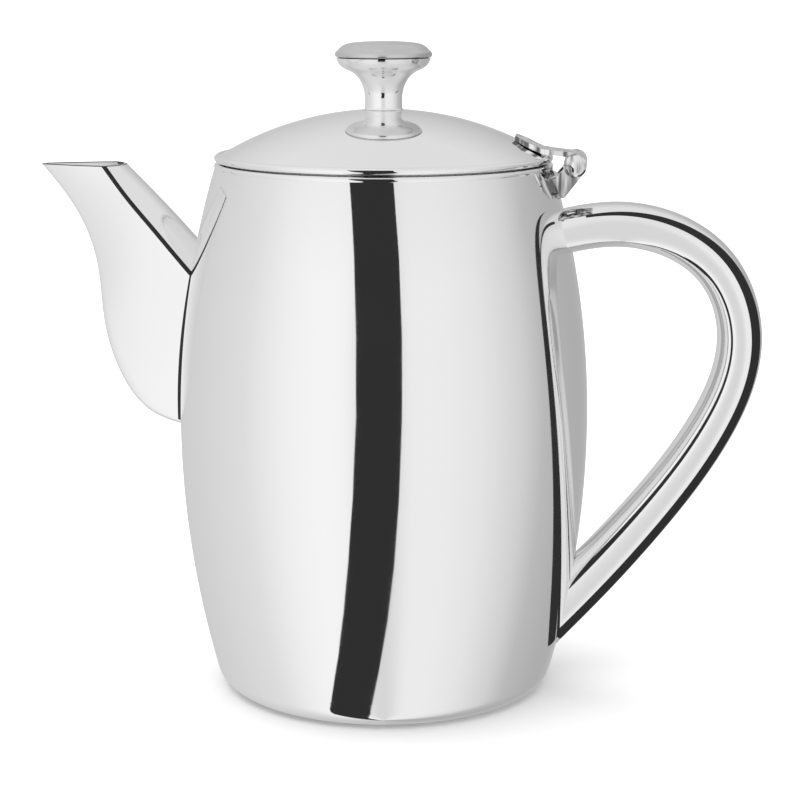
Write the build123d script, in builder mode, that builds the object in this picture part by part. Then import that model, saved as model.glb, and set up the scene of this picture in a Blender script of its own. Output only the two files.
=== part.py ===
"""Stainless steel coffee pot: barrel body, welded spout, hollow loop handle and hinged lid with a knob.

Millimetres, +Z up.  The origin is the centre of the foot, on the surface that the pot stands on.
+X points to the handle, -X to the spout, and the hinge pin of the lid runs along Y.
The pot is symmetric about the XZ plane, where its pressed halves are welded together.
"""
from build123d import *
from math import asin, degrees, radians, sqrt, tan
import os

os.makedirs("parts", exist_ok=True)

# ---------------------------------------------------------------- driving dimensions
sheet = 0.9  # body, spout and handle wall

belly_radius = 59.0
belly_height = 78.0
upper_arc_radius = 250.0  # barrel wall above the belly
lower_arc_radius = 278.0  # barrel wall below it
base_corner = 7.0  # outside radius between the wall and the foot
foot_inner_radius = 41.5
foot_rise = 1.8  # how far the middle of the base is pressed up
base_seam_height = 8.0  # weld between the barrel and the base pan

mouth_height = 152.7
mouth_bead_radius = 0.95
mouth_bead_centre_radius = 47.2

strainer_hole_radius = 1.9
strainer_pitch_y = 5.6
strainer_pitch_z = 6.4
strainer_height = 108.0

spout_tip_x = -99.4
spout_mouth_height = 151.4
spout_back_x = -74.6  # back of the spout's mouth
spout_keel_radius = 2.2
spout_mouth_half_width = 8.4
spout_root_half_width = 12.5
spout_mouth_back_depth = 4.6  # from the creases to the middle of the rounded back
spout_root_back_depth = 6.4
spout_side_bulge = 0.05  # rise of a side panel over the half width
spout_nose_depth = 0.61  # run of the rounded keel, over its radius
spout_nose_half = 0.92  # half width of the rounded keel, over its radius
spout_keel_wall = 1.4  # wall at the keel, over the sheet
spout_nose_wall = 0.6  # wall beside the keel, over the sheet

handle_root_width = 22.0
handle_end_width = 11.0
handle_thickness = 12.4
handle_end_thickness = 16.0
handle_corner_share = 0.42  # corner radius of the section over its thickness

hinge_x = 54.4
hinge_height = 152.6
knuckle_radius = 3.3
pin_radius = 1.25
pin_clearance = 0.06  # running clearance in the knuckle of the lid
lid_knuckle_half = 5.9
body_knuckle_inner = 6.2
body_knuckle_outer = 9.6
pin_head_height = 1.5
leaf_thickness = 1.0
leaf_top_half = 12.5
leaf_top = 149.4
leaf_corner_half = 11.5
leaf_corner_height = 145.6
leaf_bottom = 142.8
arm_top_drop = 0.9  # corners of the arm's profile, below and beside the pin
arm_top_back = 3.1
arm_bend_drop = 3.6
arm_bend_back = 5.6
arm_foot_drop = 8.6
arm_foot_back = 6.0
arm_foot_front = 2.6
arm_front_drop = 1.4
arm_front_reach = 3.0

lid_sheet = 0.8
lid_lip_centre_radius = 47.1
lid_lip_height = 154.0
lid_lip_radius = 1.0
dome_radius = 90.0
dome_edge_radius = 46.4
dome_edge_height = 154.6
skirt_radius = 45.2
skirt_bottom = 147.5

strap_thickness = 1.4
strap_tip_x = 37.5
strap_tip_half = 8.0
strap_tip_height = 160.6  # top face at the tip
strap_bend_x = 45.2
strap_bend_height = 157.0
strap_corner = 3.0  # how much of the tip's corners is cut off

knob_cap_radius = 13.75
knob_cap_height = 14.5  # joint between the stem and the cap, above the seat of the stem
knob_top_height = 19.2
knob_neck_radius = 5.3
knob_neck_height = 3.4
knob_flare_radius = 6.6  # stem profile at three places above the neck
knob_flare_height = 8.0
knob_throat_radius = 8.7
knob_throat_height = 10.3
knob_bowl_radius = 12.4
knob_bowl_height = 12.5
knob_stem_top_radius = 13.4
knob_rim_inset = 0.2  # how far the cap's joint lies inside its widest radius
knob_rim_height = 0.6
knob_shoulder_inset = 0.65
knob_shoulder_height = 2.0
knob_crown_inset = 1.9
knob_crown_height = 3.2
knob_crown_radius = 7.6
knob_crown_middle = 4.35
screw_radius = 2.0
screw_head_radius = 3.8
screw_length = 9.0
screw_head_height = 2.2
screw_head_rounding = 1.2
recess_length = 4.2
recess_width = 0.8
recess_depth = 1.2
screw_hole_radius = 2.2
washer_radius = 5.0
washer_thickness = 0.8


def wall_radius(height, inset=0.0):
    """Radius of the barrel wall at a height, moved in by inset."""
    arc_radius = upper_arc_radius if height >= belly_height else lower_arc_radius
    arc_centre = belly_radius - arc_radius
    return arc_centre + sqrt((arc_radius - inset) ** 2 - (height - belly_height) ** 2)


def barrel_section(inset, top):
    """Half section of the barrel, filled to its axis, with its wall and base moved in by inset."""
    bend_shift = inset * tan(radians(22.5))
    floor_edge = foot_inner_radius - foot_rise
    upper_middle = (belly_height + top) / 2
    lower_middle = (belly_height + inset) / 2
    belly = (wall_radius(belly_height, inset), belly_height)
    corner = (wall_radius(inset, inset), inset)
    with BuildSketch(Plane.XZ) as section:
        with BuildLine():
            ThreePointArc(
                (wall_radius(top, inset), top),
                (wall_radius(upper_middle, inset), upper_middle),
                belly,
            )
            ThreePointArc(belly, (wall_radius(lower_middle, inset), lower_middle), corner)
            Polyline(
                corner,
                (foot_inner_radius + bend_shift, inset),
                (floor_edge + bend_shift, foot_rise + inset),
                (0, foot_rise + inset),
                (0, top),
                (wall_radius(top, inset), top),
            )
        make_face()
        fillet(section.vertices().sort_by_distance((corner[0], 0, corner[1]))[0], base_corner - inset)
    return section.sketch


def barrel_solid(inset=0.0, top=mouth_height - mouth_bead_radius):
    """The barrel as a filled solid."""
    with BuildPart() as barrel:
        revolve(barrel_section(inset, top), axis=Axis.Z)
    return barrel.part


barrel_outside = barrel_solid()
barrel_cutter = barrel_solid(top=mouth_height + 1)

# ---------------------------------------------------------------- body shell and base pan
# The barrel is bulged from a tube and ends in a rolled bead at the mouth.
with BuildPart() as body_shell:
    add(barrel_outside)
    revolve(barrel_section(sheet, mouth_height + 1), axis=Axis.Z, mode=Mode.SUBTRACT)
    split(bisect_by=Plane.XY.offset(base_seam_height), keep=Keep.TOP)
    with BuildSketch(Plane.XZ):
        with Locations((mouth_bead_centre_radius, mouth_height - mouth_bead_radius)):
            Circle(mouth_bead_radius)
    revolve(axis=Axis.Z)
    # Strainer holes behind the spout, in two staggered grids.
    with BuildSketch(Plane.YZ.offset(-belly_radius - 1)):
        with Locations((0, strainer_height)):
            with GridLocations(strainer_pitch_y, strainer_pitch_z, 3, 4):
                Circle(strainer_hole_radius)
            with GridLocations(strainer_pitch_y, strainer_pitch_z, 2, 5):
                Circle(strainer_hole_radius)
    extrude(amount=10, mode=Mode.SUBTRACT)
body_shell.part.label = "body_shell"
export_step(body_shell.part, "parts/body_shell.step")

# The pan carries the foot ring and is pressed up in the middle, so the pot stands on a ring.
with BuildPart() as base_pan:
    add(barrel_outside)
    revolve(barrel_section(sheet, mouth_height + 1), axis=Axis.Z, mode=Mode.SUBTRACT)
    split(bisect_by=Plane.XY.offset(base_seam_height), keep=Keep.BOTTOM)
base_pan.part.label = "base_pan"
export_step(base_pan.part, "parts/base_pan.step")


# ---------------------------------------------------------------- spout
def spout_keel():
    """Front edge of the spout in the XZ plane, from the pouring lip down into the barrel."""
    with BuildLine(Plane.XZ) as keel:
        Spline(
            (spout_tip_x, spout_mouth_height),
            (-89.4, 138.0),
            (-83.8, 122.5),
            (-82.2, 106.0),
            (-78.0, 91.0),
            (-69.3, 79.2),
            (-56.0, 74.4),
        )
    return keel.line


def spout_back():
    """Back edge of the spout in the XZ plane, from the mouth down into the barrel."""
    with BuildLine(Plane.XZ) as back:
        Spline((spout_back_x, spout_mouth_height), (-61.5, 138.0), (-47.0, 121.5))
    return back.line


def spout_section(keel_point, back_point, share, inset):
    """Section from a keel point to a back point: rounded keel, two side panels, rounded back."""
    across = back_point - keel_point
    back = across.length - inset
    back_depth = spout_mouth_back_depth + (spout_root_back_depth - spout_mouth_back_depth) * share
    half_width = spout_mouth_half_width - inset
    half_width += (spout_root_half_width - spout_mouth_half_width) * share
    crease = across.length - back_depth
    keel = inset * spout_keel_wall
    nose = keel + spout_nose_depth * spout_keel_radius
    nose_half = spout_nose_half * spout_keel_radius - spout_nose_wall * inset
    middle = (nose + crease) / 2
    middle_half = (nose_half + half_width) / 2 + spout_side_bulge * half_width
    plane = Plane(origin=keel_point, x_dir=across, z_dir=across.cross(Vector(0, 1, 0)))
    with BuildSketch(plane) as section:
        with BuildLine():
            ThreePointArc((nose, -nose_half), (keel, 0), (nose, nose_half))
            ThreePointArc((nose, nose_half), (middle, middle_half), (crease, half_width))
            ThreePointArc((crease, half_width), (back, 0), (crease, -half_width))
            ThreePointArc((crease, -half_width), (middle, -middle_half), (nose, -nose_half))
        make_face()
    return section.sketch


def spout_blank(inset):
    """The spout as a filled blank that runs on into the barrel."""
    keel = spout_keel()
    back = spout_back()
    stations = 8
    sections = []
    for station in range(stations + 1):
        share = station / stations
        sections.append(spout_section(keel @ share, back @ share, share, inset))
    with BuildPart() as blank:
        loft(sections)
    return blank.part


def welded_half(outside, inside, keep):
    """One pressed half of a hollow part that is welded to the barrel and split along its length."""
    with BuildPart() as half:
        add(outside)
        add(inside, mode=Mode.SUBTRACT)
        add(barrel_cutter, mode=Mode.SUBTRACT)
        split(bisect_by=Plane.XZ, keep=keep)
    return half.part


spout_outside = spout_blank(0)
spout_inside = spout_blank(sheet)

with BuildPart() as spout_near_half:
    add(welded_half(spout_outside, spout_inside, Keep.TOP))
spout_near_half.part.label = "spout_near_half"
export_step(spout_near_half.part, "parts/spout_near_half.step")

with BuildPart() as spout_far_half:
    add(welded_half(spout_outside, spout_inside, Keep.BOTTOM))
spout_far_half.part.label = "spout_far_half"
export_step(spout_far_half.part, "parts/spout_far_half.step")


# ---------------------------------------------------------------- handle
def handle_centreline():
    """Middle of the loop handle, from its upper root inside the barrel to its lower one."""
    with BuildLine(Plane.XZ) as line:
        Spline(
            (46.0, 132.0),
            (68.3, 135.5),
            (94.0, 124.2),
            (101.7, 104.0),
            (93.6, 76.4),
            (78.1, 53.5),
            (58.0, 30.0),
            (44.0, 15.5),
        )
    return line.line


def handle_blank(inset):
    """The handle as a filled blank, wide and thin at the upper root, narrow and deep at the lower."""
    line = handle_centreline()
    stations = 12
    sections = []
    for station in range(stations + 1):
        share = station / stations
        width = handle_root_width + (handle_end_width - handle_root_width) * share
        thickness = handle_thickness + (handle_end_thickness - handle_thickness) * share**3
        plane = Plane(origin=line @ share, x_dir=(0, 1, 0), z_dir=line % share)
        with BuildSketch(plane) as section:
            RectangleRounded(
                width - 2 * inset,
                thickness - 2 * inset,
                handle_corner_share * min(width, thickness) - inset,
            )
        sections.append(section.sketch)
    with BuildPart() as blank:
        loft(sections)
    return blank.part


handle_outside = handle_blank(0)
handle_inside = handle_blank(sheet)

with BuildPart() as handle_near_half:
    add(welded_half(handle_outside, handle_inside, Keep.TOP))
handle_near_half.part.label = "handle_near_half"
export_step(handle_near_half.part, "parts/handle_near_half.step")

with BuildPart() as handle_far_half:
    add(welded_half(handle_outside, handle_inside, Keep.BOTTOM))
handle_far_half.part.label = "handle_far_half"
export_step(handle_far_half.part, "parts/handle_far_half.step")

# ---------------------------------------------------------------- lid
dome_centre_height = dome_edge_height - sqrt(dome_radius**2 - dome_edge_radius**2)
crown_height = dome_centre_height + dome_radius


def dome_height(radius, reach=dome_radius):
    """Height of a sphere of the dome's centre at a distance from the axis."""
    return dome_centre_height + sqrt(reach**2 - radius**2)


with BuildPart() as lid_dome:
    with BuildSketch(Plane.XZ):
        with BuildLine():
            inner_reach = dome_radius - lid_sheet
            middle_radius = dome_edge_radius / 2
            edge = (dome_edge_radius, dome_edge_height)
            inner_edge = (dome_edge_radius, dome_height(dome_edge_radius, inner_reach))
            ThreePointArc((0, crown_height), (middle_radius, dome_height(middle_radius)), edge)
            Line(edge, inner_edge)
            ThreePointArc(
                inner_edge,
                (middle_radius, dome_height(middle_radius, inner_reach)),
                (0, crown_height - lid_sheet),
            )
            Line((0, crown_height - lid_sheet), (0, crown_height))
        make_face()
        with Locations((lid_lip_centre_radius, lid_lip_height)):
            Circle(lid_lip_radius)
    revolve(axis=Axis.Z)
    with Locations((0, 0, crown_height)):
        Hole(screw_hole_radius, depth=3)
lid_dome.part.label = "lid_dome"
export_step(lid_dome.part, "parts/lid_dome.step")

# The skirt keeps the lid centred in the mouth.
skirt_top = dome_height(skirt_radius, dome_radius - lid_sheet)
with BuildPart() as lid_skirt:
    with BuildSketch(Plane.XY.offset(skirt_bottom)):
        Circle(skirt_radius)
        Circle(skirt_radius - lid_sheet, mode=Mode.SUBTRACT)
    extrude(amount=skirt_top - skirt_bottom)
    fillet(lid_skirt.edges().group_by(Axis.Z)[0], 0.3)
lid_skirt.part.label = "lid_skirt"
export_step(lid_skirt.part, "parts/lid_skirt.step")


# ---------------------------------------------------------------- hinge
def knuckle(low_y, high_y, hole_radius):
    """A hinge knuckle about the pin, between two places along Y."""
    with BuildPart() as piece:
        with BuildSketch(Plane.XZ.offset(-high_y)):
            with Locations((hinge_x, hinge_height)):
                Circle(knuckle_radius)
                Circle(hole_radius, mode=Mode.SUBTRACT)
        extrude(amount=high_y - low_y)
    return piece.part


def pin_hole(radius):
    """A cylinder along the hinge axis, longer than the hinge."""
    with BuildPart() as piece:
        with BuildSketch(Plane.XZ.offset(-body_knuckle_outer - 5)):
            with Locations((hinge_x, hinge_height)):
                Circle(radius)
        extrude(amount=2 * body_knuckle_outer + 10)
    return piece.part


def bracket_arm():
    """Side profile that joins a body knuckle to the leaf on the barrel."""
    with BuildSketch(Plane.XZ) as profile:
        with BuildLine():
            Polyline(
                (hinge_x - arm_top_back, hinge_height - arm_top_drop),
                (hinge_x - arm_bend_back, hinge_height - arm_bend_drop),
                (hinge_x - arm_foot_back, hinge_height - arm_foot_drop),
                (hinge_x - arm_foot_front, hinge_height - arm_foot_drop),
                (hinge_x + arm_front_reach, hinge_height - arm_front_drop),
                (hinge_x - arm_top_back, hinge_height - arm_top_drop),
            )
        make_face()
    return profile.sketch


# A shield-shaped leaf follows the barrel, and two arms carry the outer knuckles.
with BuildPart() as hinge_body_bracket:
    with BuildSketch(Plane.YZ.offset(hinge_x - 12)):
        with BuildLine():
            near_corner = (-leaf_corner_half, leaf_corner_height)
            far_corner = (leaf_corner_half, leaf_corner_height)
            Polyline(near_corner, (-leaf_top_half, leaf_top), (leaf_top_half, leaf_top), far_corner)
            ThreePointArc(far_corner, (0, leaf_bottom), near_corner)
        make_face()
    extrude(amount=14)
    add(barrel_solid(-leaf_thickness, mouth_height), mode=Mode.INTERSECT)
    for side in (-1, 1):
        middle_y = side * (body_knuckle_inner + body_knuckle_outer) / 2
        half = (body_knuckle_outer - body_knuckle_inner) / 2
        extrude(bracket_arm().moved(Location((0, middle_y, 0))), amount=half, both=True)
        add(knuckle(middle_y - half, middle_y + half, pin_radius))
    add(pin_hole(pin_radius + 0.02), mode=Mode.SUBTRACT)
    add(barrel_cutter, mode=Mode.SUBTRACT)
hinge_body_bracket.part.label = "hinge_body_bracket"
export_step(hinge_body_bracket.part, "parts/hinge_body_bracket.step")

# The strap is welded to the dome and rolled into the middle knuckle.
with BuildPart() as hinge_lid_strap:
    with BuildSketch(Plane.XZ):
        with BuildLine():
            Polyline(
                (strap_tip_x, strap_tip_height),
                (strap_bend_x, strap_bend_height),
                (hinge_x, hinge_height + knuckle_radius),
                (hinge_x, hinge_height + knuckle_radius - strap_thickness),
                (strap_bend_x, strap_bend_height - strap_thickness),
                (strap_tip_x, strap_tip_height - strap_thickness),
                (strap_tip_x, strap_tip_height),
            )
        make_face()
    extrude(amount=strap_tip_half, both=True)
    with BuildSketch(Plane.XY.offset(strap_bend_height - 10)):
        with BuildLine():
            Polyline(
                (strap_tip_x, strap_tip_half - strap_corner),
                (strap_tip_x + strap_corner, strap_tip_half),
                (strap_bend_x + strap_corner, lid_knuckle_half),
                (hinge_x + 1, lid_knuckle_half),
                (hinge_x + 1, 0),
                (strap_tip_x, 0),
                (strap_tip_x, strap_tip_half - strap_corner),
            )
        make_face()
        mirror(about=Plane.XZ)
    extrude(amount=20, mode=Mode.INTERSECT)
    add(knuckle(-lid_knuckle_half, lid_knuckle_half, pin_radius))
    add(pin_hole(pin_radius + pin_clearance), mode=Mode.SUBTRACT)
    add(lid_dome.part, mode=Mode.SUBTRACT)
hinge_lid_strap.part.label = "hinge_lid_strap"
export_step(hinge_lid_strap.part, "parts/hinge_lid_strap.step")


def pin_head():
    """Half section of a domed pin head, its flat side on the axis plane of its sketch."""
    rim = knuckle_radius - 0.1
    ball_radius = (rim**2 + pin_head_height**2) / (2 * pin_head_height)
    rim_angle = degrees(asin(rim / ball_radius))
    with BuildSketch(Plane.XZ) as section:
        with BuildLine():
            Line((0, pin_head_height), (0, 0))
            Line((0, 0), (rim, 0))
            CenterArc((0, pin_head_height - ball_radius), ball_radius, 90 - rim_angle, rim_angle)
        make_face()
    return section.sketch


with BuildPart() as pin_head_blank:
    revolve(pin_head(), axis=Axis.Z)
head_place_y = body_knuckle_outer + 0.05
near_head_place = Plane(origin=(hinge_x, -head_place_y, hinge_height), z_dir=(0, -1, 0))
far_head_place = Plane(origin=(hinge_x, head_place_y, hinge_height), z_dir=(0, 1, 0))
spigot_length = 0.9
near_head = near_head_place * pin_head_blank.part
far_head = far_head_place * pin_head_blank.part

with BuildPart() as hinge_pin:
    with BuildSketch(near_head_place):
        Circle(pin_radius)
    extrude(amount=-2 * head_place_y - spigot_length)
    add(near_head)
hinge_pin.part.label = "hinge_pin"
export_step(hinge_pin.part, "parts/hinge_pin.step")

with BuildPart() as hinge_pin_cap:
    add(far_head)
    with BuildSketch(far_head_place):
        Circle(pin_radius)
    extrude(amount=spigot_length, mode=Mode.SUBTRACT)
hinge_pin_cap.part.label = "hinge_pin_cap"
export_step(hinge_pin_cap.part, "parts/hinge_pin_cap.step")

# ---------------------------------------------------------------- knob
knob_seat = dome_height(knob_neck_radius)  # the neck meets the dome here
joint_height = knob_seat + knob_cap_height

with BuildPart() as knob_stem:
    with BuildSketch(Plane.XZ):
        with BuildLine():
            neck = (knob_neck_radius, knob_seat + knob_neck_height)
            stem_top = (knob_stem_top_radius, joint_height)
            Polyline((0, knob_seat), (knob_neck_radius, knob_seat), neck)
            Spline(
                neck,
                (knob_flare_radius, knob_seat + knob_flare_height),
                (knob_throat_radius, knob_seat + knob_throat_height),
                (knob_bowl_radius, knob_seat + knob_bowl_height),
                stem_top,
                tangents=[(0.0, 1.0), (0.35, 1.0)],
            )
            Polyline(stem_top, (0, joint_height), (0, knob_seat))
        make_face()
    revolve(axis=Axis.Z)
    add(lid_dome.part, mode=Mode.SUBTRACT)
    with BuildSketch(Plane.XY.offset(knob_seat - 1)):
        Circle(screw_radius + 0.03)
    extrude(amount=screw_length, mode=Mode.SUBTRACT)
knob_stem.part.label = "knob_stem"
export_step(knob_stem.part, "parts/knob_stem.step")

with BuildPart() as knob_cap:
    with BuildSketch(Plane.XZ):
        with BuildLine():
            shoulder = (knob_cap_radius - knob_shoulder_inset, joint_height + knob_shoulder_height)
            Line((0, joint_height), (knob_cap_radius - knob_rim_inset, joint_height))
            ThreePointArc(
                (knob_cap_radius - knob_rim_inset, joint_height),
                (knob_cap_radius, joint_height + knob_rim_height),
                shoulder,
            )
            Spline(
                shoulder,
                (knob_cap_radius - knob_crown_inset, joint_height + knob_crown_height),
                (knob_crown_radius, joint_height + knob_crown_middle),
                (0, knob_seat + knob_top_height),
                tangents=[(-0.55, 1.0), (-1.0, 0.0)],
            )
            Line((0, knob_seat + knob_top_height), (0, joint_height))
        make_face()
    revolve(axis=Axis.Z)
knob_cap.part.label = "knob_cap"
export_step(knob_cap.part, "parts/knob_cap.step")

washer_top = dome_height(washer_radius, dome_radius - lid_sheet)
with BuildPart() as knob_washer:
    with BuildSketch(Plane.XY.offset(washer_top)):
        Circle(washer_radius)
        Circle(screw_hole_radius, mode=Mode.SUBTRACT)
    extrude(amount=-washer_thickness)
knob_washer.part.label = "knob_washer"
export_step(knob_washer.part, "parts/knob_washer.step")

screw_head_top = washer_top - washer_thickness
with BuildPart() as knob_screw:
    with BuildSketch(Plane.XY.offset(screw_head_top)):
        Circle(screw_head_radius)
    extrude(amount=-screw_head_height)
    fillet(knob_screw.edges().group_by(Axis.Z)[0], screw_head_rounding)
    with BuildSketch(Plane.XY.offset(screw_head_top)):
        Circle(screw_radius)
    extrude(amount=screw_length)
    with BuildSketch(Plane.XY.offset(screw_head_top - screw_head_height)):
        Rectangle(recess_length, recess_width)
        Rectangle(recess_width, recess_length)
    extrude(amount=recess_depth, mode=Mode.SUBTRACT)
knob_screw.part.label = "knob_screw"
export_step(knob_screw.part, "parts/knob_screw.step")
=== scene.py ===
"""Looks of the coffee pot: mirror polished steel on a pale studio floor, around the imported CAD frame."""
from math import asin, atan2, cos, degrees, pi, radians, sin, sqrt, tan

import bmesh
import bpy
import numpy as np
from mathutils import Matrix, Vector


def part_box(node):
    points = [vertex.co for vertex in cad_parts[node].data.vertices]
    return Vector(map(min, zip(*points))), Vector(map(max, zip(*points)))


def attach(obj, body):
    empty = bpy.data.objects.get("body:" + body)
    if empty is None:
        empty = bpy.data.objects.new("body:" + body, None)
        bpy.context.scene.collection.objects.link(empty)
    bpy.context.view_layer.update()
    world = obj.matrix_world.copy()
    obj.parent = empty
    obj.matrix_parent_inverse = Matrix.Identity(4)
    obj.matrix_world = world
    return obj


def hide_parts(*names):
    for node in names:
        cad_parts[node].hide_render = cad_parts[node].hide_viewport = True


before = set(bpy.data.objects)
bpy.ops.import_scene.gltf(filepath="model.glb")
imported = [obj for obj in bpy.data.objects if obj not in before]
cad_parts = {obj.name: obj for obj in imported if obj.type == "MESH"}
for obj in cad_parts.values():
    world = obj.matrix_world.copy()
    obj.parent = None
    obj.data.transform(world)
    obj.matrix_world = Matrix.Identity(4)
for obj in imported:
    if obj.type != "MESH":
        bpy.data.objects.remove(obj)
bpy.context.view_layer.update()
MM = 0.001

# ---------------------------------------------------------------- sizes, in millimetres
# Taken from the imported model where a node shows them, and repeated from the design elsewhere.
pan_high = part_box("base_pan")[1] / MM
shell_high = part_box("body_shell")[1] / MM
cap_low, cap_high = (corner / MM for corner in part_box("knob_cap"))

SHEET = 0.9
BELLY_RADIUS = 59.0
BELLY_HEIGHT = 78.0
UPPER_ARC = 250.0
LOWER_ARC = 278.0
BASE_CORNER = 7.0
FOOT_INNER = 41.5
FOOT_RISE = 1.8
PAN_RING = 20  # radius of an extra ring in the pan's flat floor
BEAD = 0.95
BEAD_CENTRE = (47.2, shell_high.z - BEAD)
BEAD_ARC = (-30, 262)  # degrees, from the end of the outer wall over the mouth
BEAD_GAP = 0.15  # between the bead and the top of the inner wall
SEAM_HEIGHT = pan_high.z

STRAINER_HOLE = 1.9
STRAINER_PITCH = (5.6, 6.4)
STRAINER_HEIGHT = 108.0
DRILL_SIDES = 28
DRILL_OUTSIDE, DRILL_INSIDE = 1, 9  # how far the drills reach out of and into the belly

LID_SHEET = 0.8
DOME_RADIUS = 90.0
DOME_EDGE = (46.4, 154.6)
LIP = 1.0
LIP_CENTRE = (47.1, 154.0)
LIP_TURN = (6, 306)  # degrees that the lip runs back from the dome's edge
DOME_INNER_EDGE = 45.9
SCREW_HOLE = 2.2

KNOB_CAP_RADIUS = 13.75
KNOB_NECK = 5.3
KNOB_NECK_HEIGHTS = (0.8, 2.2)
KNOB_FLARE = [(0.35, 0.02), (0.1, 0.3)]  # at the dome: beyond the neck's radius, over the seat
# Radius and height of the stem over its seat, and of the cap over the joint between the two
KNOB_SIDE = [(5.3, 3.4), (6.6, 8.0), (8.7, 10.3), (12.4, 12.5), (13.4, 14.5)]
KNOB_CROWN = [(13.1, 2.0), (11.85, 3.2), (7.6, 4.35), (0, 4.7)]
KNOB_GROOVE = 0.5  # depth of the shadow line between stem and cap
KNOB_CAP_EDGE = (0.2, 0.3)  # the cap's lower edge: inside its widest line, and over the joint
KNOB_CAP_WIDEST = 0.8  # height over the joint
KNOB_CAP_SEAT = 0.4  # the groove's inner corner lies this much further in

SPOUT_KEEL = [
    (-99.4, 151.4), (-89.4, 138.0), (-83.8, 122.5), (-82.2, 106.0), (-78.0, 91.0), (-69.3, 79.2), (-56.0, 74.4),
]
SPOUT_BACK = [(-74.6, 151.4), (-61.5, 138.0), (-47.0, 121.5)]
SPOUT_KEEL_RADIUS = 2.2
SPOUT_HALF_WIDTHS = (8.4, 12.5)
SPOUT_BACK_DEPTHS = (4.6, 6.4)
SPOUT_BULGE = 0.05
SPOUT_NOSE = (0.61, 0.92)  # depth and half width of the rounded keel, in keel radii
KEEL_INSET, NOSE_INSET = 1.4, 0.6  # how far the inner skin's keel and nose move in, in sheet thicknesses
SEAM_SHARE = 0.022  # last part of the spout's length, where it is brazed to the barrel; the sides of this part are painted near-black, painted shade along the joint
# width of the near-black bevels along the spout's creases and round its mouth: painted dark reflection lines
DARK_BEVEL_WIDTH = 0.7
KEEL_DARK_FACES = 2  # faces on each side of the keel painted near-black: a painted dark reflection along its nose, over the weld of its halves
CREASE_WEIGHT, RIM_WEIGHT = 1.0, 0.35  # how much of the dark bevel's width the creases and the mouth's rim take

HANDLE_LINE = [
    (46.0, 132.0), (68.3, 135.5), (94.0, 124.2), (101.7, 104.0),
    (93.6, 76.4), (78.1, 53.5), (58.0, 30.0), (44.0, 15.5),
]
HANDLE_WIDTHS = (22.0, 11.0)
HANDLE_THICKNESSES = (12.4, 16.0)
HANDLE_ROUNDNESS = 2.7  # exponent of the section's superellipse
# Shares of the handle's line outside and inside the barrel, with its roots in between
HANDLE_UPPER_ROOT = (0.3, 0.0)
HANDLE_LOWER_ROOT = (0.6, 1.0)

WELD_DEPTH = 0.35  # how far welded pieces reach into the barrel's wall
SHARP_DEGREES = 35  # corners that turn more than this are shaded sharp


# ---------------------------------------------------------------- curves
class SmoothLine:
    """Natural cubic spline through plane points, along the share of its chord length."""

    def __init__(self, points):
        self.points = np.array(points, float)
        chords = np.linalg.norm(np.diff(self.points, axis=0), axis=1)
        self.knots = np.concatenate([[0.0], np.cumsum(chords)]) / chords.sum()
        count = len(points)
        gaps = np.diff(self.knots)
        matrix = np.eye(count)
        right = np.zeros_like(self.points)
        for i in range(1, count - 1):
            matrix[i, i - 1 : i + 2] = gaps[i - 1], 2 * (gaps[i - 1] + gaps[i]), gaps[i]
            steps = np.diff(self.points, axis=0)
            right[i] = 6 * (steps[i] / gaps[i] - steps[i - 1] / gaps[i - 1])
        self.bends = np.linalg.solve(matrix, right)

    def at(self, share):
        """Point and direction at a share of the line."""
        i = int(np.clip(np.searchsorted(self.knots, share) - 1, 0, len(self.knots) - 2))
        gap = self.knots[i + 1] - self.knots[i]
        b = (share - self.knots[i]) / gap
        a = 1 - b
        low, high = self.points[i], self.points[i + 1]
        bend_low, bend_high = self.bends[i], self.bends[i + 1]
        point = a * low + b * high + ((a**3 - a) * bend_low + (b**3 - b) * bend_high) * gap**2 / 6
        slope = (high - low) / gap + ((1 - 3 * a * a) * bend_low + (3 * b * b - 1) * bend_high) * gap / 6
        return point, slope / np.linalg.norm(slope)


def arc(centre, radius, start, end, steps):
    """Points of an arc in the plane, from one angle to another, in degrees."""
    angles = np.radians(np.linspace(start, end, steps + 1))
    return [(centre[0] + radius * cos(a), centre[1] + radius * sin(a)) for a in angles]


def arc_through(first, middle, last, steps):
    """Points of the arc through three plane points."""
    (ax, ay), (bx, by), (cx, cy) = first, middle, last
    d = 2 * (ax * (by - cy) + bx * (cy - ay) + cx * (ay - by))
    a2, b2, c2 = ax * ax + ay * ay, bx * bx + by * by, cx * cx + cy * cy
    ux = (a2 * (by - cy) + b2 * (cy - ay) + c2 * (ay - by)) / d
    uy = (a2 * (cx - bx) + b2 * (ax - cx) + c2 * (bx - ax)) / d
    radius = sqrt((ax - ux) ** 2 + (ay - uy) ** 2)
    start = atan2(ay - uy, ax - ux)
    through = (atan2(by - uy, bx - ux) - start) % (2 * pi)
    end = (atan2(cy - uy, cx - ux) - start) % (2 * pi)
    sweep = end if through < end else end - 2 * pi
    return arc((ux, uy), radius, degrees(start), degrees(start + sweep), steps)


def wall_radius(height, inset=0.0):
    """Radius of the barrel at a height, moved in by inset."""
    reach = UPPER_ARC if height >= BELLY_HEIGHT else LOWER_ARC
    return BELLY_RADIUS - reach + sqrt((reach - inset) ** 2 - (height - BELLY_HEIGHT) ** 2)


# ---------------------------------------------------------------- meshes
def make_object(name, mesh, body, materials, replaced=()):
    """Puts a finished mesh into the scene as a piece that rides on a body."""
    piece = bpy.data.objects.new(name, mesh)
    bpy.context.scene.collection.objects.link(piece)
    for material in materials:
        mesh.materials.append(material)
    if replaced:
        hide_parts(*replaced)
    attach(piece, body)
    return piece


def finish_mesh(build, name, sharp_degrees=SHARP_DEGREES):
    """Turns a bmesh into a smooth shaded mesh with sharp corners where the faces turn quickly."""
    bmesh.ops.recalc_face_normals(build, faces=build.faces)
    mesh = bpy.data.meshes.new(name)
    build.to_mesh(mesh)
    build.free()
    mesh.shade_smooth()
    mesh.set_sharp_from_angle(angle=radians(sharp_degrees))
    return mesh


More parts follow.
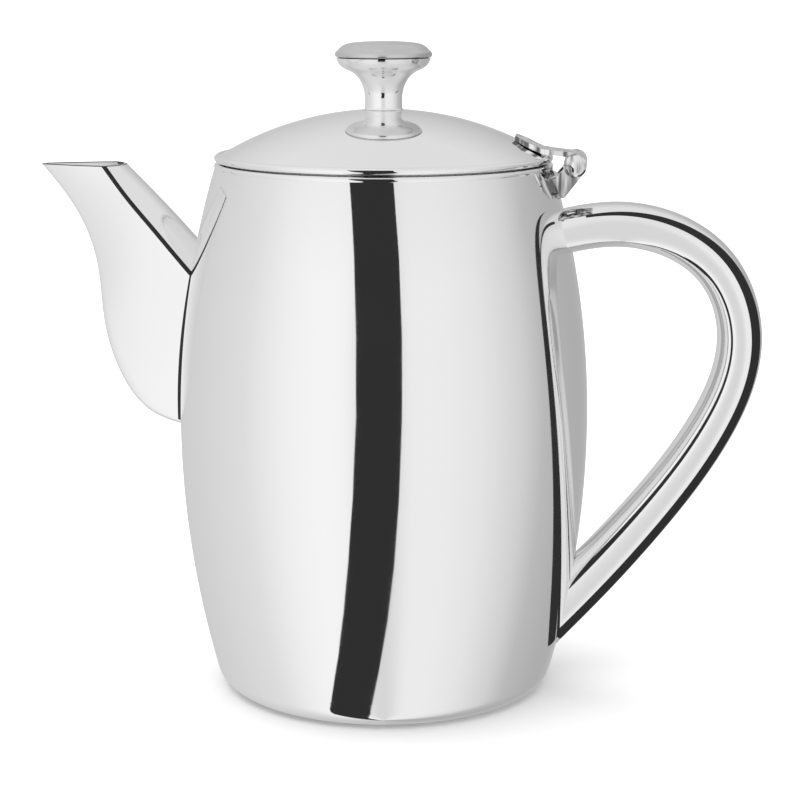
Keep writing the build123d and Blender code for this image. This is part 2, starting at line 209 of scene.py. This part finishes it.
def lathe(name, outline, material_of=None, segments=256):
    """Turns a closed half outline, a list of (radius, height) in millimetres, about the Z axis."""
    build = bmesh.new()
    rings = []
    for radius, height in outline:
        if radius < 1e-6:
            rings.append([build.verts.new((0, 0, height * MM))])
            continue
        ring = []
        for k in range(segments):
            angle = 2 * pi * k / segments
            ring.append(build.verts.new((radius * cos(angle) * MM, radius * sin(angle) * MM, height * MM)))
        rings.append(ring)
    for i, ring in enumerate(rings):
        following = rings[(i + 1) % len(rings)]
        if len(ring) == 1 and len(following) == 1:
            continue
        for k in range(segments):
            here, there = k, (k + 1) % segments
            corners = [ring[here % len(ring)], ring[there % len(ring)]]
            corners += [following[there % len(following)], following[here % len(following)]]
            face = build.faces.new(list(dict.fromkeys(corners)))
            face.material_index = material_of(i) if material_of else 0
    return finish_mesh(build, name)


def grid_between(build, first, second):
    """Faces between two closed loops of the same length."""
    count = len(first)
    return [
        build.faces.new((first[k], first[(k + 1) % count], second[(k + 1) % count], second[k]))
        for k in range(count)
    ]


# ---------------------------------------------------------------- materials
POLISHED = (0.87, 0.87, 0.87)
SATIN = (0.74, 0.74, 0.75)
DARK_STREAK_GREY = (0.16, 0.16, 0.165)
DARK_STREAK_RAMP = (0.40, 0.58)  # noise values at which the dark streaks end and the plain steel begins
CLOUDS = 38  # noise per metre, as are the next two
HAIRLINES = 5200
SCRATCHES = 900
HAIRLINE_DEPTH = 0.00002


def principled(name, colour, roughness, metallic=1.0):
    """A new material, with its tree, its shader and its constant values set on the shader."""
    material = bpy.data.materials.new(name)
    material.use_nodes = True
    tree = material.node_tree
    shader = tree.nodes["Principled BSDF"]
    shader.inputs["Base Color"].default_value = (*colour, 1)
    shader.inputs["Metallic"].default_value = metallic
    shader.inputs["Roughness"].default_value = roughness
    return material, tree, shader


def noise(tree, vector, scale, detail, stretch=(1, 1, 1), roughness=0.5):
    """Noise over object coordinates, stretched along the axes; returns its value socket."""
    mapping = tree.nodes.new("ShaderNodeMapping")
    mapping.inputs["Scale"].default_value = stretch
    tree.links.new(vector, mapping.inputs["Vector"])
    texture = tree.nodes.new("ShaderNodeTexNoise")
    texture.inputs["Scale"].default_value = scale
    texture.inputs["Detail"].default_value = detail
    texture.inputs["Roughness"].default_value = roughness
    tree.links.new(mapping.outputs["Vector"], texture.inputs["Vector"])
    return texture.outputs["Fac"]


def ranged(tree, value, low, high, from_low=0.3, from_high=0.7):
    """Maps a 0 to 1 value into a range."""
    node = tree.nodes.new("ShaderNodeMapRange")
    node.inputs["From Min"].default_value = from_low
    node.inputs["From Max"].default_value = from_high
    node.inputs["To Min"].default_value = low
    node.inputs["To Max"].default_value = high
    tree.links.new(value, node.inputs["Value"])
    return node.outputs["Result"]


def maths(tree, operation, first, second):
    """Result of a math node on a value socket and on another socket or a number."""
    node = tree.nodes.new("ShaderNodeMath")
    node.operation = operation
    tree.links.new(first, node.inputs[0])
    if isinstance(second, float):
        node.inputs[1].default_value = second
    else:
        tree.links.new(second, node.inputs[1])
    return node.outputs["Value"]


def turned_coordinates(tree):
    """Coordinates of a turned piece: distance round it, distance from its axis, and height."""
    place = tree.nodes.new("ShaderNodeTexCoord").outputs["Object"]
    split = tree.nodes.new("ShaderNodeSeparateXYZ")
    tree.links.new(place, split.inputs["Vector"])
    angle = maths(tree, "ARCTAN2", split.outputs["Y"], split.outputs["X"])
    flat = tree.nodes.new("ShaderNodeCombineXYZ")
    tree.links.new(split.outputs["X"], flat.inputs["X"])
    tree.links.new(split.outputs["Y"], flat.inputs["Y"])
    reach = tree.nodes.new("ShaderNodeVectorMath")
    reach.operation = "LENGTH"
    tree.links.new(flat.outputs["Vector"], reach.inputs[0])
    joined = tree.nodes.new("ShaderNodeCombineXYZ")
    tree.links.new(angle, joined.inputs["X"])
    tree.links.new(reach.outputs["Value"], joined.inputs["Y"])
    tree.links.new(split.outputs["Z"], joined.inputs["Z"])
    return place, joined.outputs["Vector"]


def steel(
    name, colour=POLISHED, roughness=(0.03, 0.075), lines=0.02, turned=True, grain=(1, 1, 1), dark_streaks=None
):
    """Polished or satin steel: cloudy roughness, hairline polishing marks and a few fine scratches.

    Turned pieces carry their hairlines round the axis, the others along the axis with the smallest grain.
    """
    material, tree, shader = principled(name, colour, roughness[0])
    place, round_axis = turned_coordinates(tree)
    clouds = noise(tree, place, CLOUDS, 3)
    if turned:
        hairlines = noise(tree, round_axis, 1, 2, stretch=(3.0, HAIRLINES, HAIRLINES))
        scratches = noise(tree, round_axis, 1, 5, stretch=(40, SCRATCHES, SCRATCHES), roughness=0.75)
    else:
        hairlines = noise(tree, place, 1, 2, stretch=tuple(HAIRLINES * g for g in grain))
        scratches = noise(tree, place, 1, 5, stretch=tuple(SCRATCHES * g for g in grain), roughness=0.75)
    middle = (roughness[0] + roughness[1]) / 2
    spread = roughness[1] - roughness[0]
    cloudy = ranged(tree, clouds, middle - 0.35 * spread, middle + 0.25 * spread)
    streaks = ranged(tree, hairlines, -0.15 * spread, 0.15 * spread)
    worn = ranged(tree, scratches, 0.0, 1.2 * spread, 0.62, 0.8)
    tree.links.new(maths(tree, "ADD", maths(tree, "ADD", cloudy, streaks), worn), shader.inputs["Roughness"])
    # Optional darker streaks: the colour falls to a near-black grey where a noise stretched along the given
    # axes is low
    if dark_streaks:
        streaky = noise(tree, place, 1, 2, stretch=dark_streaks)
        ramp = tree.nodes.new("ShaderNodeValToRGB")
        for element, position, shade in zip(ramp.color_ramp.elements, DARK_STREAK_RAMP, (DARK_STREAK_GREY, colour)):
            element.position = position
            element.color = (*shade, 1)
        tree.links.new(streaky, ramp.inputs["Fac"])
        tree.links.new(ramp.outputs["Color"], shader.inputs["Base Color"])
    bump = tree.nodes.new("ShaderNodeBump")
    bump.inputs["Strength"].default_value = lines
    bump.inputs["Distance"].default_value = HAIRLINE_DEPTH
    tree.links.new(hairlines, bump.inputs["Height"])
    tree.links.new(bump.outputs["Normal"], shader.inputs["Normal"])
    return material


mirror_turned = steel("mirror_turned")
mirror_spout = steel("mirror_spout", turned=False, grain=(1, 1, 0.03), roughness=(0.035, 0.085))
knob_cap_steel = steel("knob_cap_steel", (0.60, 0.60, 0.60), (0.08, 0.16))
# Near-black steel: painted shade in the knob's groove and where the spout meets the barrel, and painted dark
# reflection lines along the spout's keel, creases and mouth rim
painted_shade_steel = steel("painted_shade_steel", (0.035, 0.035, 0.037), (0.12, 0.3), 0.1, turned=False, grain=(1, 1, 0.2))
mirror_handle = steel("mirror_handle", turned=False, grain=(0.05, 1, 0.05), roughness=(0.035, 0.09))
mirror_hinge = steel(
    "mirror_hinge", (0.86, 0.86, 0.86), (0.05, 0.14), 0.04, turned=False, grain=(0.1, 1, 1),
    dark_streaks=(520, 380, 60),
)
satin_turned = steel("satin_turned", SATIN, (0.24, 0.38), 0.35)
satin_plain = steel("satin_plain", SATIN, (0.22, 0.36), 0.3, turned=False, grain=(1, 0.05, 1))
turned_sheet = [mirror_turned, satin_turned]  # outside and inside of a turned piece


# ---------------------------------------------------------------- barrel and base pan
def wall_points(low, high, inset, steps):
    """Points of the barrel wall between two heights."""
    return [(wall_radius(z, inset), z) for z in np.linspace(low, high, steps + 1)]


def corner_points(inset, steps):
    """The base corner, from the wall down to the foot."""
    reach, drop = LOWER_ARC - BASE_CORNER, BELLY_HEIGHT - BASE_CORNER
    centre = (BELLY_RADIUS - LOWER_ARC + sqrt(reach**2 - drop**2), BASE_CORNER)
    lean = -degrees(asin(drop / reach))
    return arc(centre, BASE_CORNER - inset, lean, -90, steps)


def barrel_outline():
    """Closed outline of the barrel, in three parts: outer wall, rolled bead, inner wall."""
    outer = wall_points(SEAM_HEIGHT, BEAD_CENTRE[1] - BEAD / 2, 0, 110)
    bead = arc(BEAD_CENTRE, BEAD, *BEAD_ARC, 28)[1:]
    inner = wall_points(BEAD_CENTRE[1] - BEAD - BEAD_GAP, SEAM_HEIGHT, SHEET, 70)
    return outer, bead, inner


outer_wall, mouth_bead, inner_wall = barrel_outline()
inner_from = len(outer_wall) + len(mouth_bead) - 2
barrel_mesh = lathe(
    "body_shell_mesh",
    outer_wall + mouth_bead + inner_wall,
    material_of=lambda i: 1 if inner_from <= i < inner_from + len(inner_wall) else 0,
    segments=384,
)


def with_strainer(mesh):
    """The barrel's mesh with the two staggered grids of strainer holes behind the spout."""
    build = bmesh.new()
    places = [(y, z) for y in (-1, 0, 1) for z in (-1.5, -0.5, 0.5, 1.5)]
    places += [(y, z) for y in (-0.5, 0.5) for z in (-2, -1, 0, 1, 2)]
    for across, up in places:
        centre_y, centre_z = across * STRAINER_PITCH[0], STRAINER_HEIGHT + up * STRAINER_PITCH[1]
        ends = []
        for x in (-BELLY_RADIUS - DRILL_OUTSIDE, -BELLY_RADIUS + DRILL_INSIDE):
            circle = arc((centre_y, centre_z), STRAINER_HOLE, 0, 360, DRILL_SIDES)[:-1]
            ends.append([build.verts.new((x * MM, y * MM, z * MM)) for y, z in circle])
        grid_between(build, ends[0], ends[1])
        build.faces.new(ends[0])
        build.faces.new(ends[1])
    for face in build.faces:
        face.material_index = 1
    drills = finish_mesh(build, "drills")
    for material in turned_sheet:
        drills.materials.append(material)
        mesh.materials.append(material)
    drill = bpy.data.objects.new("drill", drills)
    blank = bpy.data.objects.new("blank", mesh)
    for thing in (drill, blank):
        bpy.context.scene.collection.objects.link(thing)
    cut = blank.modifiers.new("holes", "BOOLEAN")
    cut.operation = "DIFFERENCE"
    cut.solver = "EXACT"
    cut.object = drill
    drilled = bpy.data.meshes.new_from_object(blank.evaluated_get(bpy.context.evaluated_depsgraph_get()))
    for thing in (drill, blank):
        bpy.data.objects.remove(thing)
    slots = [polygon.material_index for polygon in drilled.polygons]  # clearing the materials loses them
    drilled.materials.clear()
    drilled.polygons.foreach_set("material_index", slots)
    drilled.shade_smooth()
    drilled.set_sharp_from_angle(angle=radians(SHARP_DEGREES))
    return drilled


make_object("barrel", with_strainer(barrel_mesh), "pot", turned_sheet, ["body_shell"])

pan_outer = wall_points(SEAM_HEIGHT, corner_points(0, 1)[0][1], 0, 2) + corner_points(0, 24)[1:]
pan_floor = FOOT_INNER - FOOT_RISE
bend = SHEET * tan(radians(22.5))
pan_under = [(FOOT_INNER, 0), (pan_floor, FOOT_RISE), (PAN_RING, FOOT_RISE), (0, FOOT_RISE)]
pan_above = [(0, FOOT_RISE + SHEET), (PAN_RING, FOOT_RISE + SHEET), (pan_floor + bend, FOOT_RISE + SHEET)]
pan_above.append((FOOT_INNER + bend, SHEET))
pan_inner = wall_points(SEAM_HEIGHT, corner_points(SHEET, 1)[0][1], SHEET, 2) + corner_points(SHEET, 16)[1:]
pan_inner.reverse()
pan_mesh = lathe(
    "base_pan_mesh",
    pan_outer + pan_under + pan_above + pan_inner,
    material_of=lambda i: 0 if i < len(pan_outer) else 1,
    segments=256,
)
make_object("base_pan_shell", pan_mesh, "pot", turned_sheet, ["base_pan"])


# ---------------------------------------------------------------- pieces welded to the barrel
def depth_in_wall(point):
    """How far a point lies outside the surface that welded pieces end on, in the barrel's wall."""
    return sqrt(point[0] ** 2 + point[1] ** 2) - (wall_radius(point[2]) - WELD_DEPTH)


def weld_share(line_at, outside, inside):
    """Share of a lengthwise line at which it enters the barrel's wall."""
    for _ in range(40):
        middle = (outside + inside) / 2
        if depth_in_wall(line_at(middle)) > 0:
            outside = middle
        else:
            inside = middle
    return outside


# ---------------------------------------------------------------- spout
keel_line = SmoothLine(SPOUT_KEEL)
back_line = SmoothLine(SPOUT_BACK)
KEEL_STEPS, SIDE_STEPS, BACK_STEPS = 10, 16, 18


def spout_section(share, inset):
    """Closed section of the spout as points in space: keel, far side, back, near side."""
    keel_point = keel_line.at(share)[0]
    back_point = back_line.at(share)[0]
    length = float(np.linalg.norm(back_point - keel_point))
    along = (back_point - keel_point) / length
    half = SPOUT_HALF_WIDTHS[0] + (SPOUT_HALF_WIDTHS[1] - SPOUT_HALF_WIDTHS[0]) * share - inset
    crease = length - SPOUT_BACK_DEPTHS[0] - (SPOUT_BACK_DEPTHS[1] - SPOUT_BACK_DEPTHS[0]) * share
    keel = KEEL_INSET * inset
    nose = keel + SPOUT_NOSE[0] * SPOUT_KEEL_RADIUS
    nose_half = SPOUT_NOSE[1] * SPOUT_KEEL_RADIUS - NOSE_INSET * inset
    middle = ((nose + crease) / 2, (nose_half + half) / 2 + SPOUT_BULGE * half)
    back = length - inset
    flat = arc_through((nose, -nose_half), (keel, 0), (nose, nose_half), KEEL_STEPS)[:-1]
    flat += arc_through((nose, nose_half), middle, (crease, half), SIDE_STEPS)[:-1]
    flat += arc_through((crease, half), (back, 0), (crease, -half), BACK_STEPS)[:-1]
    flat += arc_through((crease, -half), (middle[0], -middle[1]), (nose, -nose_half), SIDE_STEPS)[:-1]
    return [(keel_point[0] + along[0] * u, v, keel_point[1] + along[1] * u) for u, v in flat]


def spout_rings(build, inset, stations):
    """Loops of vertices from the mouth to the barrel, each lengthwise line ending in its wall."""
    count = len(spout_section(0, inset))
    ends = []
    for k in range(count):
        ends.append(weld_share(lambda share: spout_section(share, inset)[k], 0.0, 1.0))
    rings = []
    for station in np.append(np.linspace(0, 1 - SEAM_SHARE, stations + 1), 1.0):
        ring = []
        for k in range(count):
            x, y, z = spout_section(ends[k] * station, inset)[k]
            ring.append(build.verts.new((x * MM, y * MM, z * MM)))
        rings.append(ring)
    return rings


def make_spout():
    """Outer and inner skin of the spout, joined at the mouth's rim and in the barrel's wall."""
    build = bmesh.new()
    outside = spout_rings(build, 0.0, 44)
    inside = spout_rings(build, SHEET, 24)
    skin = [grid_between(build, first, second) for first, second in zip(outside, outside[1:])]
    for first, second in zip(inside, inside[1:]):
        for face in grid_between(build, first, second):
            face.material_index = 1
    grid_between(build, outside[0], inside[0])
    grid_between(build, outside[-1], inside[-1])
    far_crease = KEEL_STEPS + SIDE_STEPS
    near_crease = far_crease + BACK_STEPS
    # The sides of the last row, at the barrel, and a strip along the keel take the near-black steel: painted
    # shade at the joint, painted dark reflection along the keel
    for face in skin[-1][KEEL_STEPS:far_crease] + skin[-1][near_crease:]:
        face.material_index = 2
    for row in skin:
        for face in row[KEEL_STEPS // 2 - KEEL_DARK_FACES : KEEL_STEPS // 2 + KEEL_DARK_FACES]:
            face.material_index = 2
    weights = build.edges.layers.float.new("bevel_weight_edge")
    for first, second in zip(outside, outside[1:]):
        for k in (far_crease, near_crease):
            build.edges.get((first[k], second[k]))[weights] = CREASE_WEIGHT
    for ring in (outside[0], inside[0]):
        for k in range(len(ring)):
            build.edges.get((ring[k], ring[(k + 1) % len(ring)]))[weights] = RIM_WEIGHT
    mesh = finish_mesh(build, "spout_mesh", 60)
    piece = make_object(
        "spout", mesh, "pot", [mirror_spout, satin_plain, painted_shade_steel],
        ["spout_near_half", "spout_far_half"],
    )
    bevel = piece.modifiers.new("soft_creases", "BEVEL")
    bevel.limit_method = "WEIGHT"
    bevel.width = DARK_BEVEL_WIDTH * MM
    bevel.segments = 4
    # The bevels take the near-black steel: painted dark reflection lines along the creases and round the mouth
    bevel.material = 2


make_spout()


# ---------------------------------------------------------------- handle
handle_line = SmoothLine(HANDLE_LINE)


def handle_size(share):
    """Width and thickness of the handle's section."""
    width = HANDLE_WIDTHS[0] + (HANDLE_WIDTHS[1] - HANDLE_WIDTHS[0]) * share
    thickness = HANDLE_THICKNESSES[0] + (HANDLE_THICKNESSES[1] - HANDLE_THICKNESSES[0]) * share**3
    return width, thickness


def handle_section(share, count):
    """Closed superellipse section of the handle as points in space."""
    middle, direction = handle_line.at(share)
    width, thickness = handle_size(share)
    across = (-direction[1], direction[0])
    points = []
    for k in range(count):
        angle = 2 * pi * k / count
        side = abs(cos(angle)) ** (2 / HANDLE_ROUNDNESS) * (1 if cos(angle) >= 0 else -1)
        out = abs(sin(angle)) ** (2 / HANDLE_ROUNDNESS) * (1 if sin(angle) >= 0 else -1)
        offset = out * thickness / 2
        points.append((middle[0] + across[0] * offset, side * width / 2, middle[1] + across[1] * offset))
    return points


def make_handle():
    """The handle's skin, closed at both roots inside the barrel's wall."""
    count, stations = 72, 120
    spans = []
    for k in range(count):
        line = lambda share: handle_section(share, count)[k]
        spans.append((weld_share(line, *HANDLE_UPPER_ROOT), weld_share(line, *HANDLE_LOWER_ROOT)))
    build = bmesh.new()
    rings = []
    for station in range(stations + 1):
        ring = []
        for k in range(count):
            start, end = spans[k]
            x, y, z = handle_section(start + (end - start) * station / stations, count)[k]
            ring.append(build.verts.new((x * MM, y * MM, z * MM)))
        rings.append(ring)
    for first, second in zip(rings, rings[1:]):
        grid_between(build, first, second)
    build.faces.new(rings[0])
    build.faces.new(rings[-1])
    mesh = finish_mesh(build, "handle_mesh", 50)
    replaced = ["handle_near_half", "handle_far_half"]
    make_object("handle", mesh, "pot", [mirror_handle], replaced)


make_handle()

# ---------------------------------------------------------------- lid
dome_centre = DOME_EDGE[1] - sqrt(DOME_RADIUS**2 - DOME_EDGE[0] ** 2)


def dome_points(reach, start, end, steps):
    """Points of the dome's sphere between two distances from the axis."""
    return [(r, dome_centre + sqrt(reach**2 - r * r)) for r in np.linspace(start, end, steps + 1)]


lip_start = degrees(atan2(DOME_EDGE[1] - LIP_CENTRE[1], DOME_EDGE[0] - LIP_CENTRE[0]))
lip_points = arc(LIP_CENTRE, LIP, lip_start - LIP_TURN[0], lip_start - LIP_TURN[1], 28)
dome_outside = dome_points(DOME_RADIUS, SCREW_HOLE, DOME_EDGE[0] - 0.1, 90)
dome_inside = dome_points(DOME_RADIUS - LID_SHEET, DOME_INNER_EDGE, SCREW_HOLE, 60)
dome_mesh = lathe(
    "lid_dome_mesh",
    dome_outside + lip_points + dome_inside,
    material_of=lambda i: 0 if i < len(dome_outside) + len(lip_points) - 2 else 1,
    segments=320,
)
make_object("lid_dome_shell", dome_mesh, "lid", turned_sheet, ["lid_dome"])

# ---------------------------------------------------------------- knob
seat = dome_centre + sqrt(DOME_RADIUS**2 - KNOB_NECK**2)
joint = cap_low.z


def knob_stem_outline():
    """Neck and bowl of the knob, up to the groove under its cap."""
    side = SmoothLine([(KNOB_NECK, z) for z in KNOB_NECK_HEIGHTS] + KNOB_SIDE)
    outline = [(SCREW_HOLE, KNOB_FLARE[0][1])] + [(KNOB_NECK + r, z) for r, z in KNOB_FLARE]
    outline += [tuple(side.at(share)[0]) for share in np.linspace(0, 1, 81)]
    outline = [(r, min(seat + z, joint)) for r, z in outline]
    return outline + [(KNOB_SIDE[-1][0] - KNOB_GROOVE, joint), (SCREW_HOLE, joint)]


def knob_cap_outline():
    """The crowned cap, with the groove above the stem."""
    edge = (KNOB_CAP_RADIUS - KNOB_CAP_EDGE[0], KNOB_CAP_EDGE[1])
    groove = edge[0] - KNOB_GROOVE
    rim = arc_through(edge, (KNOB_CAP_RADIUS, KNOB_CAP_WIDEST), KNOB_CROWN[0], 12)
    crown = SmoothLine(KNOB_CROWN)
    top = [tuple(crown.at(share)[0]) for share in np.linspace(0, 1, 49)]
    outline = [(0, 0), (groove - KNOB_CAP_SEAT, 0), (groove, KNOB_CAP_EDGE[1])] + rim + top[1:-1]
    outline.append((0, cap_high.z - cap_low.z))
    return [(r, joint + z) for r, z in outline]


stem_mesh = lathe("knob_stem_mesh", knob_stem_outline(), segments=160)
# The cap's groove faces take the near-black steel: painted shade in the groove between stem and cap
cap_mesh = lathe(
    "knob_cap_mesh", knob_cap_outline(), material_of=lambda i: 1 if 0 < i < 3 else 0, segments=160
)
make_object("knob_neck", stem_mesh, "lid", [mirror_turned], ["knob_stem"])
make_object("knob_top", cap_mesh, "lid", [knob_cap_steel, painted_shade_steel], ["knob_cap"])

# ---------------------------------------------------------------- CAD nodes that stay
for node, material in {
    "hinge_body_bracket": mirror_hinge,
    "hinge_lid_strap": mirror_hinge,
    "hinge_pin": mirror_hinge,
    "hinge_pin_cap": mirror_hinge,
    "lid_skirt": satin_turned,
    "knob_washer": satin_plain,
    "knob_screw": satin_plain,
}.items():
    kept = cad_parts[node]
    kept.data.materials.clear()
    kept.data.materials.append(material)

# ---------------------------------------------------------------- studio
CAMERA_AZIMUTH = 5.5  # towards the handle from the pot's side
CAMERA_DISTANCE = 0.600
CAMERA_SIDE = 0.00463
CAMERA_HEIGHT = 0.2048
AIM_HEIGHT = 0.0834
FOCAL_PIXELS = 2103
FRAME_PIXELS = 800
SENSOR = 36.0

# Studio seen in the steel. Places are degrees round from the camera, positive to the right.
WALL_GAIN = 1.15
WALLS = [
    (-180, 0.52), (-147, 0.59), (-83, 0.72), (-56, 0.87), (-22, 0.95), (-8, 0.66), (4, 0.66), (16, 0.88),
    (56, 0.78), (83, 0.62), (100, 0.48), (148, 0.36), (180, 0.52),
]
CEILING = [(-180, 0.72), (-60, 0.80), (60, 0.72), (180, 0.72)]
CEILING_FROM = 12.0  # degrees above the horizon, as is the next
CEILING_TO = 45.0
PANEL_SIZE = 9.0
PANEL_PLACE = (-0.8, 1.2, 6.0)
PANEL_AIM = (0, 3, 0)
PANEL_WATTS = 420.0
PAPER = (0.93, 0.93, 0.93)

# Dark gap in front, as rows of distance from the axis, height, left edge and right edge in millimetres.
# It leans in at the top, under the view of the knob, and turns in below the floor.
GAP_LEVEL = 0.032
GAP_ROWS = [
    (57, 163.5, -14.4, 4), (61, 160.3, -14.9, 4.5), (73.5, 152.6, -16.6, 7), (88.8, 143.5, -18.9, 10.5),
    (106.7, 132.5, -22.3, 13.9), (126.7, 118.4, -25.9, 18.1),
    (150, 80, -31, 21.4), (150, 38, -35.8, 18.2), (150, 0, -44.5, 13), (150, -35, -55.8, 5.2),
    (150, -75, -73, -7.5), (150, -115, -95, -23), (150, -155, -118, -27), (150, -300, -150, -42),
    (150, -520, -165, -60),
    (75, -520, -82, -30), (5, -520, -6, -2),
]

# Dark ribbon over the handle, from its surface and from its near side, thin at the root and then wider
RIBBON_GAP = 1.6
RIBBON_FRONT = (0.6, 4.0)
RIBBON_BACK = (1.8, 5.6)
RIBBON_SHARES = (0.07, 0.98)
RIBBON_GROWTH = 0.3  # share of the handle's line over which it widens


def make_camera():
    """Camera that looks a little down at the pot from its spout-left side view."""
    turn = radians(CAMERA_AZIMUTH)
    pitch = atan2(CAMERA_HEIGHT - AIM_HEIGHT, CAMERA_DISTANCE)
    right = Vector((cos(turn), sin(turn), 0))
    level = Vector((-sin(turn), cos(turn), 0))
    forward = level * cos(pitch) - Vector((0, 0, sin(pitch)))
    up = right.cross(forward)
    data = bpy.data.cameras.new("camera")
    data.sensor_width = SENSOR
    data.lens = FOCAL_PIXELS * SENSOR / FRAME_PIXELS
    data.clip_start = 0.01
    camera = bpy.data.objects.new("camera", data)
    bpy.context.scene.collection.objects.link(camera)
    place = right * CAMERA_SIDE - level * CAMERA_DISTANCE + Vector((0, 0, CAMERA_HEIGHT))
    camera.matrix_world = Matrix.Translation(place) @ Matrix((right, up, -forward)).transposed().to_4x4()
    bpy.context.scene.camera = camera


def stage_object(name, mesh, material, seen_by_camera):
    """A part of the studio. Cards show only in reflections, the backdrop only directly."""
    thing = bpy.data.objects.new(name, mesh)
    bpy.context.scene.collection.objects.link(thing)
    mesh.materials.append(material)
    thing.visible_camera = seen_by_camera
    thing.visible_diffuse = seen_by_camera
    thing.visible_shadow = seen_by_camera
    thing.visible_glossy = not seen_by_camera
    return thing


def aligned(x, y, z):
    """A place given in millimetres to the right, away from the camera, and up, turned into the frame."""
    turn = radians(CAMERA_AZIMUTH)
    return ((x * cos(turn) - y * sin(turn)) * MM, (x * sin(turn) + y * cos(turn)) * MM, z * MM)


def make_backdrop():
    """Pale paper sweep: a flat floor that curves up into a wall behind the pot."""
    half, near, far, rise, top = 9000, -4000, 5000, 3000, 9000
    line = [(near, 0), (far, 0)] + [
        (far + rise * sin(a), rise * (1 - cos(a))) for a in np.radians(np.linspace(5, 90, 18))
    ] + [(far + rise, top)]
    build = bmesh.new()
    left = [build.verts.new(aligned(-half, y, z)) for y, z in line]
    right = [build.verts.new(aligned(half, y, z)) for y, z in line]
    for k in range(len(line) - 1):
        build.faces.new((left[k], right[k], right[k + 1], left[k + 1]))
    material, _, shader = principled("backdrop_paper", PAPER, 0.9, metallic=0)
    shader.inputs["Specular IOR Level"].default_value = 0.1
    stage_object("backdrop", finish_mesh(build, "backdrop_mesh"), material, True)


def card_material(name, level):
    """Matt card of one grey, bright by itself so that the lights don't change it."""
    material, _, shader = principled(name, (0, 0, 0), 1.0, metallic=0)
    shader.inputs["Specular IOR Level"].default_value = 0.0
    shader.inputs["Emission Color"].default_value = (level, level, level, 1)
    shader.inputs["Emission Strength"].default_value = 1.0
    return material


def make_front_card():
    """The dark gap between the studio's two front walls, which draws the black stripe on the barrel."""
    build = bmesh.new()
    rows = []
    for first, second in zip(GAP_ROWS, GAP_ROWS[1:]):
        for share in np.linspace(0, 1, 8, endpoint=False):
            distance, height, left, right = np.array(first) * (1 - share) + np.array(second) * share
            rows.append([build.verts.new(aligned(x, -distance, height)) for x in (left, right)])
    for (a, b), (c, d) in zip(rows, rows[1:]):
        build.faces.new((a, b, d, c))
    material = card_material("gap_dark", GAP_LEVEL)
    stage_object("front_gap", finish_mesh(build, "front_gap_mesh"), material, False)


def make_handle_card():
    """A dark ribbon close over the handle's outer side, which draws the black line along its edge."""
    build = bmesh.new()
    rows = []
    for share in np.linspace(*RIBBON_SHARES, 91):
        middle, direction = handle_line.at(share)
        width, thickness = handle_size(share)
        reach = thickness / 2 + RIBBON_GAP
        x, z = middle[0] - direction[1] * reach, middle[1] + direction[0] * reach
        grown = min(1.0, (share - RIBBON_SHARES[0]) / RIBBON_GROWTH)
        front = -width / 2 - RIBBON_FRONT[0] - (RIBBON_FRONT[1] - RIBBON_FRONT[0]) * grown
        back = -width / 2 + RIBBON_BACK[0] + (RIBBON_BACK[1] - RIBBON_BACK[0]) * grown
        rows.append([build.verts.new((x * MM, y * MM, z * MM)) for y in (front, back)])
    for (a, b), (c, d) in zip(rows, rows[1:]):
        build.faces.new((a, b, d, c))
    material = card_material("ribbon_dark", GAP_LEVEL)
    stage_object("handle_ribbon", finish_mesh(build, "ribbon_mesh"), material, False)


def make_light():
    """Large soft light above that only the backdrop answers to; the steel shows the walls instead."""
    data = bpy.data.lights.new("sky_panel", "AREA")
    data.shape = "SQUARE"
    data.size = PANEL_SIZE
    data.energy = PANEL_WATTS
    panel = bpy.data.objects.new("sky_panel", data)
    panel.location = PANEL_PLACE
    panel.rotation_euler = (Vector(PANEL_AIM) - panel.location).to_track_quat("-Z", "Y").to_euler()
    panel.visible_glossy = False
    bpy.context.scene.collection.objects.link(panel)


def make_world():
    """White studio walls that fall off to the right and the back, with a paler ceiling."""
    world = bpy.data.worlds.new("studio")
    bpy.context.scene.world = world
    world.use_nodes = True
    tree = world.node_tree
    direction = tree.nodes.new("ShaderNodeTexCoord").outputs["Generated"]
    turned = tree.nodes.new("ShaderNodeMapping")
    turned.vector_type = "POINT"
    turned.inputs["Rotation"].default_value = (0, 0, -radians(CAMERA_AZIMUTH))
    tree.links.new(direction, turned.inputs["Vector"])
    split = tree.nodes.new("ShaderNodeSeparateXYZ")
    tree.links.new(turned.outputs["Vector"], split.inputs["Vector"])
    towards = maths(tree, "MULTIPLY", split.outputs["Y"], -1.0)
    azimuth = maths(tree, "ARCTAN2", split.outputs["X"], towards)
    walls = grey_ramp(tree, ranged(tree, azimuth, 0, 1, -pi, pi), WALLS)
    ceiling = grey_ramp(tree, ranged(tree, azimuth, 0, 1, -pi, pi), CEILING)
    raised = ranged(tree, split.outputs["Z"], 0, 1, sin(radians(CEILING_FROM)), sin(radians(CEILING_TO)))
    mixed = tree.nodes.new("ShaderNodeMix")
    mixed.data_type = "FLOAT"
    tree.links.new(raised, mixed.inputs["Factor"])
    tree.links.new(walls, mixed.inputs["A"])
    tree.links.new(ceiling, mixed.inputs["B"])
    tree.links.new(mixed.outputs["Result"], tree.nodes["Background"].inputs["Strength"])
    tree.nodes["Background"].inputs["Color"].default_value = (1, 1, 1, 1)


def grey_ramp(tree, value, stops):
    """A ramp through (place, level) stops, the places in degrees from -180 to 180."""
    ramp = tree.nodes.new("ShaderNodeValToRGB")
    ramp.color_ramp.interpolation = "B_SPLINE" if len(stops) > 5 else "LINEAR"
    elements = ramp.color_ramp.elements
    while len(elements) < len(stops):
        elements.new(0.5)
    for element, (place, _) in zip(elements, stops):
        element.position = (place + 180) / 360
    for element, (_, level) in zip(elements, stops):
        element.color = (level, level, level, 1)
    tree.links.new(value, ramp.inputs["Fac"])
    return maths(tree, "MULTIPLY", ramp.outputs["Color"], WALL_GAIN)


make_camera()
make_backdrop()
make_front_card()
make_handle_card()
make_light()
make_world()
bpy.context.scene.view_settings.view_transform = "Standard"
